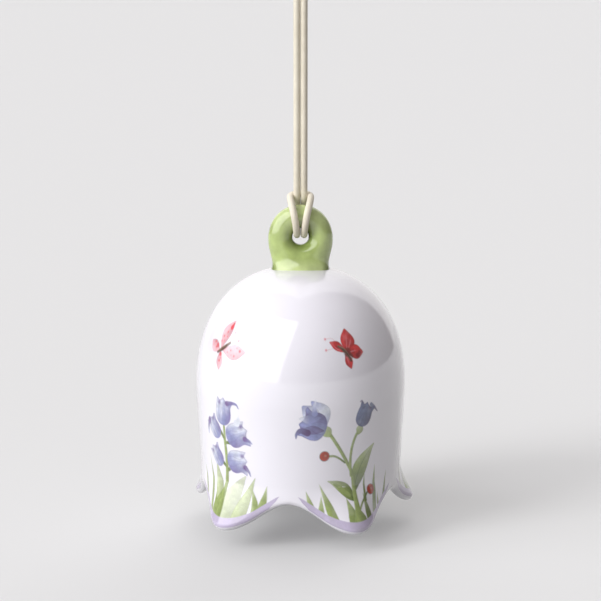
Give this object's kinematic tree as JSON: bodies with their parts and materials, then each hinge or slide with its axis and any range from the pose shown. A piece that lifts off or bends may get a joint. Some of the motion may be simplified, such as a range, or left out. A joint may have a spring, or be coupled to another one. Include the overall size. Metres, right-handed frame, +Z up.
{
  "type": "porcelain hanging bell",
  "caption": "Domed white porcelain bell with a flared, scalloped petal rim, a green eyelet on the crown, a cord loop to hang it by and a clapper inside.",
  "frame": {"origin": "the middle of the cord's knot, where the bell is hung up", "axes": "+Z up along the cord and the bell's axis, -Y towards the bell's front, X across the eyelet"},
  "size_m": [0.0657, 0.065, 0.1696],
  "materials": {
    "white_glaze": "glossy",
    "green_glaze": "glossy",
    "cord": "matte",
    "cement": "matte",
    "wire": "satin",
    "clapper_glaze": "glossy"
  },
  "bodies": {
    "knot": {"cord_knot": "cord"},
    "cord": {"hanging_cord": "cord"},
    "bell": {"bell_shell": "white_glaze", "hanging_eyelet": "green_glaze", "crown_cement": "cement", "crown_staple": "wire"},
    "link": {"clapper_link": "wire"},
    "clapper": {"clapper_rod": "wire", "clapper_ball": "clapper_glaze", "clapper_stop": "wire"}
  },
  "joints": [
    {"name": "cord_sway", "type": "hinge", "parent": "knot", "child": "cord", "pos_m": [0, 0, 0], "axis": [0, 1, 0], "range_deg": [-20, 20]},
    {"name": "bell_rock", "type": "hinge", "parent": "cord", "child": "bell", "pos_m": [0, 0, -0.0737], "axis": [1, 0, 0], "range_deg": [-25, 25]},
    {"name": "link_swing", "type": "hinge", "parent": "bell", "child": "link", "pos_m": [0, 0, -0.09744], "axis": [1, 0, 0], "range_deg": [-19, 19]},
    {"name": "clapper_swing", "type": "hinge", "parent": "link", "child": "clapper", "pos_m": [0, 0, -0.10079], "axis": [0, 1, 0], "range_deg": [-19, 19]}
  ]
}
